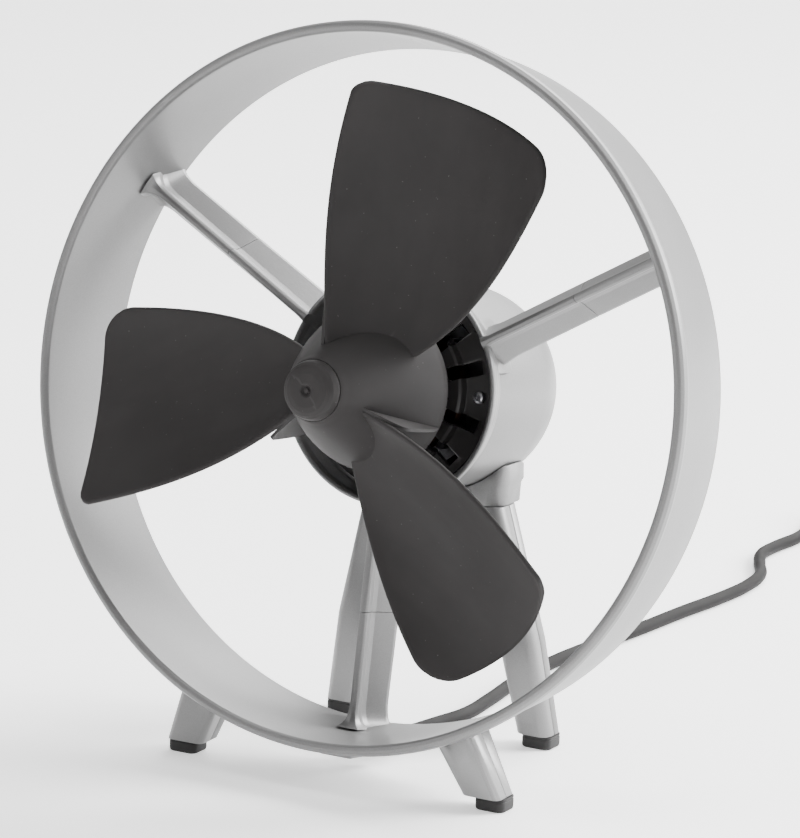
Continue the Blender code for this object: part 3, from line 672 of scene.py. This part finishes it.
def spoke_mesh(stations):
    """stations: (radius, widen, grow, back) in mm and shares. The spoke stands along +z."""
    rings = []
    for radius, widen, grow, back in stations:
        rings.append([(x, y, radius * MM) for x, y in spoke_section(widen, grow * MM, back * MM)])
    return loft(rings)


def lower_channel():
    """The groove in the back of the lower spoke that hides the lead."""
    size = (6.2 * MM, 15.2 * MM, 92 * MM)
    return block(size), RING @ Matrix.Translation((0, 54.4 * MM, -101 * MM))


def make_ring():
    bead = fillet(scaled(RING_OUTER + RING_INNER), 1.1 * MM, steps=4)
    ring = piece("ring_band", turned(bead, 288), "silver", nodes=["guard_ring"])
    # The small blind hole inside the top
    hole = turned([(0, -2 * MM), (0.9 * MM, -2 * MM), (0.9 * MM, 2 * MM), (0, 2 * MM)], 20)
    upright = Matrix.Rotation(math.pi / 2, 4, "X")
    cut(ring, [(hole, RING @ Matrix.Translation((0, 24 * MM, 153.8 * MM)) @ upright)])
    low = SPOKE_JOINT + GAP / 2
    for side, angle in SPOKE_ANGLES.items():
        stations = [(low / MM, 0.985, 0, 54.8), (low / MM + 0.25, 1.0, 0, 54.8), (120, 1.0, 0, 54.2)]
        stations += [(radius, widen, grow, 53.6) for radius, widen, grow in SPOKE_FLARE]
        turn = RING @ about_axis(angle - 90)
        outer = piece(f"spoke_outer_{side}", spoke_mesh(stations), "silver", matrix=turn)
        if side == "lower":
            cut(outer, [lower_channel()])


def make_collar():
    outline = [(47.6, 50.7), (48.6, 50.4), (49.2, 47.5), (51.6, 42), (52.6, 38), (52.5, 36.8), (51.9, 36.0)]
    outline += [(51.0, 36.0), (50.2, 37.0), (49.6, 40.5), (47.2, 45.5), (46.9, 50.7)]
    bm = turned(fillet(scaled(outline), 0.8 * MM), 200)
    piece("collar_ring", bm, "silver", nodes=["motor_collar"])
    for side, angle in SPOKE_ANGLES.items():
        turn = RING @ about_axis(angle - 90)
        tab = piece(f"collar_tab_{side}", tab_mesh(), "silver", matrix=turn)
        bevel(tab, 0.35 * MM, 3)
        stations = [(46.0, 1.12, 0.6, 58.2), (49.0, 1.10, 0.5, 58.1), (51.5, 1.06, 0.35, 57.8)]
        stations += [(53, 1.03, 0.15, 57.6), (56, 1.0, 0, 57.2), (80, 1.0, 0, 55.9)]
        high = SPOKE_JOINT - GAP / 2
        stations += [(high / MM - 0.25, 1.0, 0, 54.8), (high / MM, 0.985, 0, 54.8)]
        inner = piece(f"spoke_inner_{side}", spoke_mesh(stations), "silver", matrix=turn)
        cutters = [collar_bore()]
        if side == "lower":
            cutters.append(lower_channel())
        cut(inner, cutters)


def collar_bore():
    """What the collar's inside leaves free, for cutting the spokes' roots."""
    bore = [(0, 70), (46.85, 70), (46.85, 50.0), (47.1, 45.5), (49.5, 40.5), (50.1, 37.0), (51.2, 35.0)]
    return turned(scaled([*bore, (51.2, 25), (0, 25)]), 200), RING


def tab_mesh():
    """A saddle tab: a piece of a tube wall that lies over the housing behind the collar."""
    half, inner, outer, front, back = 15.5, 46.7 * MM, 48.4 * MM, 48.0, 63.0
    rings = []
    shape = [(front, 1.0), (56, 1.0), (back - 2.6, 1.0), (back - 1.5, 0.985), (back - 0.7, 0.95)]
    shape += [(back - 0.2, 0.90), (back, 0.84)]
    count = 16
    for y, share in shape:
        over = [polar(outer, 90 + half * share * (1 - 2 * i / count), y * MM) for i in range(count + 1)]
        under = [polar(inner, 90 - half * share * (1 - 2 * i / count), y * MM) for i in range(count + 1)]
        rings.append(over + under)
    return loft(rings)


# Motor housing and cup ------------------------------------------------------------------------------


def make_housing():
    inside = HOUSING_RADIUS - HOUSING_WALL
    outer = arc((0, DOME_START), HOUSING_RADIUS, 83, 0, 30) + [(HOUSING_RADIUS, HOUSING_FRONT)]
    inner = [(inside, HOUSING_FRONT)] + arc((0, DOME_START), inside, 0, 82.65, 24)
    piece("housing_shell", turned(fillet(outer + inner, 0.5 * MM), 200), "silver", nodes=["motor_housing"])


def make_motor_cup():
    outline = [(46.4, 50.8), (46.4, 47.2), (44.4, 46.7), (35.0, 44.6), (34.5, 40.6), (33.2, 39.9)]
    outline += [(14, 39.6), (7.6, 39.6), (7.6, 52), (10.6, 52), (10.6, 43), (31.6, 43.2)]
    outline += [(32.4, 47.2), (43.0, 49.6), (43.0, 50.8)]
    bm = turned(fillet(scaled(outline), 0.6 * MM), 144)
    cup = piece("cup_shell", bm, "dark_plastic", nodes=["motor_cup"])
    cutters = []
    for screw_angle in CUP_SCREW_ANGLES:
        hole = turned([(0, -10 * MM), (1.8 * MM, -10 * MM), (1.8 * MM, 10 * MM), (0, 10 * MM)], 20)
        cutters.append((hole, RING @ Matrix.Translation(polar(CUP_SCREW_RADIUS, screw_angle, 45 * MM))))
        for after in CUP_SLOTS_AFTER_SCREW:
            turn = RING @ about_axis(screw_angle + after) @ Matrix.Translation((0, 46 * MM, 0))
            cutters.append((stadium(3.1 * MM, 26.6 * MM, 42.6 * MM, 24 * MM), turn))
    cut(cup, cutters)
    bevel(cup, 0.32 * MM, 2, 40)
    for i, angle in enumerate(CUP_SCREW_ANGLES):
        make_cup_screw(i + 1, angle)


def make_cup_screw(number, angle):
    """A pan-head screw with a cross recess."""
    head = [(0, 43.55), (1.5, 43.6), (2.3, 44.0), (2.7, 44.6), (2.7, 45.1), (1.4, 45.2)]
    head += [(1.4, 50.4), (0, 50.4)]
    matrix = RING @ Matrix.Translation(polar(CUP_SCREW_RADIUS, angle, 0))
    bm = turned(fillet(scaled(head), 0.15 * MM, closed=False), 32)
    screw = piece(f"cup_fixing_{number}", bm, "steel", nodes=[f"cup_screw_{number}"], matrix=matrix)
    arms = []
    for turn in (20, 110):
        at = matrix @ Matrix.Translation((0, 43.9 * MM, 0)) @ about_axis(turn)
        arms.append((block((2.9 * MM, 1.6 * MM, 0.7 * MM)), at))
    cut(screw, arms)


# Propeller ------------------------------------------------------------------------------------------

SPINNER_OUTER = [(36.6, 24.0), (36.4, 20.5), (35.2, 16.0), (32.2, 8.0), (28.7, 0.0), (24.9, -8.0)]
SPINNER_OUTER += [(21.0, -16.0), (17.0, -24.0), (15.4, -27.0), (14.3, -29.2), (13.6, -30.3)]


def spinner_curve():
    """The spinner's outside as a smooth curve of (radius, y), from its rim to its nose."""
    return [(p[0] * MM, p[1] * MM) for p in spline(SPINNER_OUTER, 5)]


def make_spinner():
    inner = [(8.4, -30.3), (8.4, -22), (7.4, -22), (7.4, 13), (10.2, 13), (10.2, -22), (12.9, -25.6)]
    inner += [(14.3, -24), (18.4, -16), (22.3, -8), (26.1, 0), (29.7, 8), (32.8, 16), (34.2, 20.5)]
    inner += [(34.4, 24.0)]
    outline = fillet(spinner_curve() + scaled(inner), 0.5 * MM)
    piece("spinner_shell", turned(outline, 160), "soft_rubber", "propeller", ["spinner"])
    cap = [(0, -27.5), (8.0, -27.5), (8.0, -30.4), (13.2, -30.4), (13.1, -31.6), (12.75, -33.0)]
    cap += [(12.2, -34.4), (11.1, -35.6), (9.6, -36.4), (7.4, -36.85), (3.2, -37.0), (2.6, -36.8)]
    cap += [(2.1, -36.0), (1.3, -35.7), (1.1, -36.5), (0.8, -36.7), (0, -36.7)]
    bm = turned(fillet(scaled(cap), 0.35 * MM, closed=False), 96)
    piece("nose_button", bm, "soft_rubber", "propeller", ["nose_cap"])


BLADE_CAMBER = 0.19  # share of the blade's width
# Cubics along the blade: each edge's angle in radians, and its distance along the axis in ring radii
BLADE_LEAD_ANGLE = (0.579, 0.3936, -0.0657, -0.0117)
BLADE_TRAIL_ANGLE = (1.738, -0.0997, -0.1415, 0.0756)
BLADE_LEAD_Y = (0.0551, 0.1575, -0.3120, 0.1630)
BLADE_TRAIL_Y = (-0.1109, 0.0020, -0.1176, 0.0794)


def blade_point(span, chord):
    """A point of the blade's middle surface, as in the CAD model."""
    tip = blade_tip(chord)
    radius = BLADE_ROOT + (tip - BLADE_ROOT) * span
    lead, trail, lead_y, trail_y = blade_edges(radius)
    angle = lead + (trail - lead) * chord
    width = radius * (trail - lead) / RING_RADIUS
    camber = BLADE_CAMBER * width * 4 * chord * (1 - chord)
    y = (lead_y + (trail_y - lead_y) * chord + camber) * RING_RADIUS
    return Vector((radius * math.cos(angle), y, radius * math.sin(angle)))


def blade_tip(chord):
    """The blade's end radius, with its two rounded corners."""
    corner = 0.16 if chord < 0.5 else 0.07
    from_edge = min(max(min(chord, 1 - chord), 0.0), corner)
    drop = (1 - math.sqrt(1 - (1 - from_edge / corner) ** 2)) * corner * 90 * MM
    return BLADE_TIP - 0.5 * MM * math.sin(math.pi * chord) - drop


def blade_edges(radius):
    """Angles, and distances along the axis over the ring's radius, of the two edges."""
    u = (radius / RING_RADIUS - 0.22) / 0.6
    curves = (BLADE_LEAD_ANGLE, BLADE_TRAIL_ANGLE, BLADE_LEAD_Y, BLADE_TRAIL_Y)
    return tuple(a + b * u + c * u**2 + d * u**3 for a, b, c, d in curves)


def edge_steps(length, count):
    """Shares of a length, close together near both ends to round the blade's edge."""
    close = [0, 0.04, 0.15, 0.35, 0.65, 1.0, 1.5]
    close = [d * MM / length for d in close]
    middle = [close[-1] + (1 - 2 * close[-1]) * i / count for i in range(1, count)]
    return [*close, *middle, *[1 - c for c in reversed(close)]]


def blade_side(chords, spans, side):
    """Grid of points on one face of the blade, side 1 or -1; the faces meet along the edges."""
    step = 0.0004
    length = BLADE_TIP - BLADE_ROOT
    half = BLADE_THICKNESS / 2
    grid = []
    for span in spans:
        row = []
        radius = BLADE_ROOT + length * span
        lead, trail, _, _ = blade_edges(radius)
        width = 1.12 * radius * (trail - lead)
        for chord in edge_steps(width, chords):
            p = blade_point(span, chord)
            along = blade_point(min(span + step, 1), chord) - blade_point(max(span - step, 0), chord)
            across = blade_point(span, min(chord + step, 1)) - blade_point(span, max(chord - step, 0))
            normal = along.cross(across).normalized()
            slope = (blade_tip(min(chord + step, 1)) - blade_tip(max(chord - step, 0))) / (2 * step * width)
            from_tip = (1 - span) * length / math.sqrt(1 + slope**2)
            inset = min(from_tip, min(chord, 1 - chord) * width)
            share = min(inset / half, 1)
            row.append(p + side * half * math.sqrt(max(1 - (1 - share) ** 2, 0)) * normal)
        grid.append(row)
    return grid


def blade_mesh():
    length = BLADE_TIP - BLADE_ROOT
    tips = [1 - d * MM / length for d in (1.5, 1.0, 0.65, 0.35, 0.15, 0.04, 0)]
    spans = [tips[0] * i / 40 for i in range(40)] + tips
    bm = bmesh.new()
    sheets = []
    for side in (1, -1):
        sheets.append([[bm.verts.new(p) for p in row] for row in blade_side(44, spans, side)])
    for sheet in sheets:
        for a, b in zip(sheet, sheet[1:]):
            for i in range(len(a) - 1):
                bm.faces.new((a[i], a[i + 1], b[i + 1], b[i]))
    first, second = sheets[0][0], sheets[1][0]
    for i in range(len(first) - 1):
        bm.faces.new((first[i], first[i + 1], second[i + 1], second[i]))
    bmesh.ops.remove_doubles(bm, verts=bm.verts, dist=0.004 * MM)
    return bm


def spinner_radius(y):
    """The spinner's outside radius at a distance along the axis."""
    curve = sorted((b, a) for a, b in spinner_curve())
    for (ya, ra), (yb, rb) in zip(curve, curve[1:]):
        if ya <= y <= yb:
            return ra + (rb - ra) * (y - ya) / (yb - ya)
    return curve[-1][1]


def gusset_mesh():
    """The thin triangular web between a blade's trailing edge and the spinner's side.

    Its outer edge runs from the blade's edge to the spinner's rim; its inner edge is in the spinner.
    """
    count, height = 14, 19.0 * MM
    top, low = -19.0 * MM, 23.0 * MM
    rows = []
    for i in range(count + 1):
        t = i / count
        y = top + (low - top) * t
        radius = spinner_radius(y)
        rise = height * (1 - t) * min(t * 6, 1) ** 0.5
        _, trail, _, _ = blade_edges(radius + rise)
        angle = math.degrees(trail) + 2.2 - 3.0 * t
        rows.append((radius - 1.0 * MM, radius + max(rise, 0.05 * MM), y, angle))
    rings = []
    for inner, outer, y, angle in rows:
        half = math.degrees(0.7 * MM / outer)
        rings.append([polar(inner, angle - half, y), polar(outer, angle - half, y)])
        rings[-1] += [polar(outer, angle + half, y), polar(inner, angle + half, y)]
    return loft(rings)


def make_blades():
    clearance = [(r + GAP / 3, y) for r, y in spinner_curve()]
    outline = [(0, 30 * MM), (36.7 * MM, 30 * MM), *clearance, (13.7 * MM, -42 * MM), (0, -42 * MM)]
    for i in range(BLADES):
        matrix = RING @ about_axis(120 * i)
        node = f"blade_{i + 1}"
        blade = piece(f"blade_skin_{i + 1}", blade_mesh(), "soft_rubber", "propeller", [node], matrix)
        cut(blade, [(turned(outline, 96), RING)])
        piece(f"blade_web_{i + 1}", gusset_mesh(), "soft_rubber", "propeller", matrix=matrix)


# Speed knob -----------------------------------------------------------------------------------------


def make_knob():
    """The rear dial: a ribbed skirt and a raised grip with a pointer line."""
    outline = [(0, 9.3), (9.2, 9.3), (10.4, 8.5), (11.0, 6.5), (11.0, -1.9), (9.3, -1.9)]
    outline += [(9.3, 0.6), (3.4, 0.6), (3.4, 6.4), (0, 6.4)]
    matrix = RING @ Matrix.Translation((0, KNOB_Y, 0))
    bm = turned(fillet(scaled(outline), 0.5 * MM, closed=False), 120)
    dial = piece("dial_body", bm, "dark_plastic", "speed_knob", ["speed_knob"], matrix)
    flutes = []
    for i in range(KNOB_FLUTES):
        at = matrix @ about_axis(360 / KNOB_FLUTES * i) @ Matrix.Translation((11.25 * MM, 2.4 * MM, 0))
        groove = turned([(0, -5 * MM), (0.62 * MM, -5 * MM), (0.62 * MM, 5 * MM), (0, 5 * MM)], 10)
        flutes.append((groove, at))
    cut(dial, flutes)
    rings = []
    for y, grow in ((8.8, 0.25), (9.6, 0), (10.8, 0), (11.25, -0.25), (11.4, -0.6)):
        ring = rounded((1.6 + grow) * MM, (9.5 + grow) * MM, 0.9 * MM, 5)
        rings.append([(x, y * MM, z) for x, z in ring])
    piece("dial_grip", loft(rings), "dark_plastic", "speed_knob", matrix=matrix)
    line = rounded(0.35 * MM, 2.4 * MM, 0.3 * MM, 3)
    pointer = [[(x, y * MM, z + 6.4 * MM) for x, z in line] for y in (11.2, 11.46)]
    piece("dial_pointer", loft(pointer), "silver", "speed_knob", matrix=matrix)


# Legs, yoke and gland -------------------------------------------------------------------------------


def half_shell(stations, side):
    """Half of a hollow leg, side 1 for the rear half and -1 for the front half."""
    rings = []
    for cx, cy, z, hx, hy, radius in stations:
        outside = rounded(hx, hy, radius)
        inside = rounded(hx - LEG_WALL, hy - LEG_WALL, max(radius - LEG_WALL, 0.6 * MM))
        half = len(outside) // 2
        ring = [(cx + x, cy + side * max(y, GAP / 2), z) for x, y in outside[: half + 1]]
        ring += [(cx + x, cy + side * max(y, GAP / 2), z) for x, y in reversed(inside[: half + 1])]
        rings.append(ring)
    return loft(rings)


def rear_leg_stations(sign, low, high):
    out = []
    knee = 50 * MM
    for z, hx, hy in ((low, 8.4, 7.6), (knee, 9.4, 8.5), (high, 9.0, 8.3)):
        x = REAR_FOOT[0] - 0.19 * z
        if z > knee:
            x = 26.4 * MM
        y = REAR_FOOT[1] - 0.082 * z
        out.append((sign * x, y, z, hx * MM, hy * MM, 4.5 * MM))
    return out


def front_leg_stations(sign, low, high):
    out = []
    for z, hx, hy in ((low, 9.2, 8.0), (high, 11.2, 9.6)):
        x = FRONT_FOOT[0] - 0.455 * z
        y = FRONT_FOOT[1] - 0.158 * z
        out.append((sign * x, y, z, hx * MM, hy * MM, 3.2 * MM))
    return out


def ring_plug():
    """The solid that the ring's outside leaves, with a gap, for cutting the legs' saddles."""
    outer = [(r * MM + GAP, y * MM) for r, y in [(152.2, 70), *RING_OUTER[1:-1], (160, -20)]]
    return turned([(0, 70 * MM), *outer, (0, -20 * MM)], 240), RING


def make_legs():
    low = FOOT_HEIGHT + GAP
    for side, sign in (("right", 1), ("left", -1)):
        for half, way in (("front", -1), ("rear", 1)):
            node = f"front_leg_{side}_{half}_shell"
            bm = half_shell(front_leg_stations(sign, low, 40 * MM), way)
            shell = piece(f"{node}_skin", bm, "silver", nodes=[node], matrix=STAND)
            cut(shell, [ring_plug()])
            bevel(shell, 0.3 * MM)
            node = f"rear_leg_{side}_{half}_shell"
            bm = half_shell(rear_leg_stations(sign, low, 112 * MM), way)
            shell = piece(f"{node}_skin", bm, "silver", nodes=[node], matrix=STAND)
            bevel(shell, 0.3 * MM)
        make_foot(f"front_foot_{side}", sign * FRONT_FOOT[0], FRONT_FOOT[1], 7.2, 6.4)
        make_foot(f"rear_foot_{side}", sign * REAR_FOOT[0], REAR_FOOT[1], 7.4, 6.6)


# Height in mm, and the share of the foot's full size there
FOOT_PROFILE = [(0, 0.90), (0.25, 0.955), (0.8, 0.99), (1.5, 1.0), (4.6, 1.0)]
FOOT_PROFILE += [(4.8, 0.975), (5.2, 0.975), (5.4, 1.0), (6.0, 1.0)]


def make_foot(node, x, y, half_x, half_y):
    """A rubber foot with a rounded sole edge and a shallow groove under the leg."""
    rings = []
    for z, scale in FOOT_PROFILE:
        ring = rounded(half_x * scale * MM, half_y * scale * MM, 3 * scale * MM, 8)
        rings.append([(px, py, z * MM) for px, py in ring])
    place = STAND @ Matrix.Translation((x, y, 0))
    piece(f"{node}_pad", loft(rings), "foot_rubber", nodes=[node], matrix=place)


def make_yoke():
    rings = []
    for z, hx, hy, cy in (
        (108.5, 13.0, 11.0, 92.0),
        (109.5, 16.2, 12.8, 92.5),
        (112.25, 16.6, 13.0, 92.5),
        (112.3, 35.0, 12.6, 92.2),
        (120.5, 35.2, 13.0, 92.5),
        (122.5, 36.2, 13.3, 92.5),
        (131.0, 36.0, 13.3, 92.5),
    ):
        rings.append([(x, cy * MM + y, z * MM) for x, y in rounded(hx * MM, hy * MM, 8 * MM, 8)])
    yoke = piece("yoke_saddle", loft(rings), "silver", nodes=["leg_yoke"], matrix=STAND)
    seat = HOUSING_RADIUS + 2 * GAP
    outline = [(0, 160 * MM), (seat, 160 * MM), (seat, 20 * MM), (0, 20 * MM)]
    cut(yoke, [(turned(outline, 200), RING)])
    bevel(yoke, 0.5 * MM, 3)


def make_gland():
    outline = fillet(scaled([(-9, 22), (9, 22), (9, 55.8), (-9, 55.8)]), 1.6 * MM)
    middle = 38.9 * MM
    rings = []
    for z, share in ((-146.0, 1.0), (-161.0, 1.0), (-162.2, 0.98), (-163.1, 0.93), (-163.6, 0.84)):
        rings.append([(x * share, middle + (y - middle) * (0.5 + share / 2), z * MM) for x, y in outline])
    gland = piece("gland_body", loft(rings), "silver", nodes=["cable_gland"])
    bore = turned([(0, -6 * MM), (5 * MM, -6 * MM), (5 * MM, 6 * MM), (0, 6 * MM)], 48)
    cut(gland, [ring_plug(), (bore, RING @ Matrix.Translation((0, 51.4 * MM, GLAND_Z)))])
    bevel(gland, 0.3 * MM)


make_ring()
make_collar()
make_housing()
make_motor_cup()
make_spinner()
make_blades()
make_knob()
make_legs()
make_yoke()
make_gland()


# The CAD nodes that stay as they are get their finishes ---------------------------------------------


def finish_nodes():
    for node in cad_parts.values():
        for slot in node.material_slots:
            base = slot.material.name.split(".")[0]
            if base in finishes:
                slot.material = finishes[base]
        node.data.shade_smooth()


finish_nodes()


# Floor and light ------------------------------------------------------------------------------------


FLOOR_GLOW = 0.75  # a backlit white sweep, as for a product picture


def make_floor():
    """A wide pale sheet that curves up behind the fan."""
    bm = bmesh.new()
    section = [(-9.0, 0.0), (4.0, 0.0)]
    for i in range(1, 13):
        a = math.pi / 2 * i / 12
        section.append((4.0 + 2.5 * math.sin(a), 2.5 * (1 - math.cos(a))))
    section.append((6.5, 9.0))
    rows = [[bm.verts.new((x, y, z)) for y, z in section] for x in (-9.0, 9.0)]
    for i in range(len(section) - 1):
        bm.faces.new((rows[0][i], rows[1][i], rows[1][i + 1], rows[0][i + 1]))
    floor = bpy.data.objects.new("floor", mesh_of("floor", bm))
    floor.data.shade_smooth()
    f = Finish("floor", 0.85)
    tone = f.ramp(f.noise(1.5, 2), [(0.3, grey(0.90)), (0.7, grey(0.92))])
    f.shader.inputs["Emission Color"].default_value = (1, 1, 1, 1)
    f.shader.inputs["Emission Strength"].default_value = FLOOR_GLOW
    floor.data.materials.append(f.done(tone))
    bpy.context.scene.collection.objects.link(floor)


def area_light(name, place, target, size, power, colour=(1, 1, 1)):
    data = bpy.data.lights.new(name, "AREA")
    data.shape, data.size, data.size_y = "RECTANGLE", *size
    data.energy, data.color = power, colour
    light = bpy.data.objects.new(name, data)
    look = Vector(target) - Vector(place)
    light.matrix_world = Matrix.Translation(place) @ look.to_track_quat("-Z", "Y").to_matrix().to_4x4()
    bpy.context.scene.collection.objects.link(light)


def make_light():
    middle = (0, 0, 0.16)
    area_light("key", (1.6, 1.3, 1.3), middle, (1.2, 1.6), 215)
    area_light("fill", (-1.6, -1.6, 1.1), middle, (1.0, 1.2), 12)
    area_light("back", (0.0, 3.0, 2.6), (0, 1.0, 0), (3.0, 1.6), 220)
    area_light("top", (0.1, -0.2, 2.6), middle, (1.6, 1.6), 50)
    world = bpy.data.worlds.new("studio")
    world.use_nodes = True
    background = world.node_tree.nodes["Background"]
    background.inputs["Color"].default_value = (1, 1, 1, 1)
    background.inputs["Strength"].default_value = 0.30
    bpy.context.scene.world = world


make_floor()
make_light()
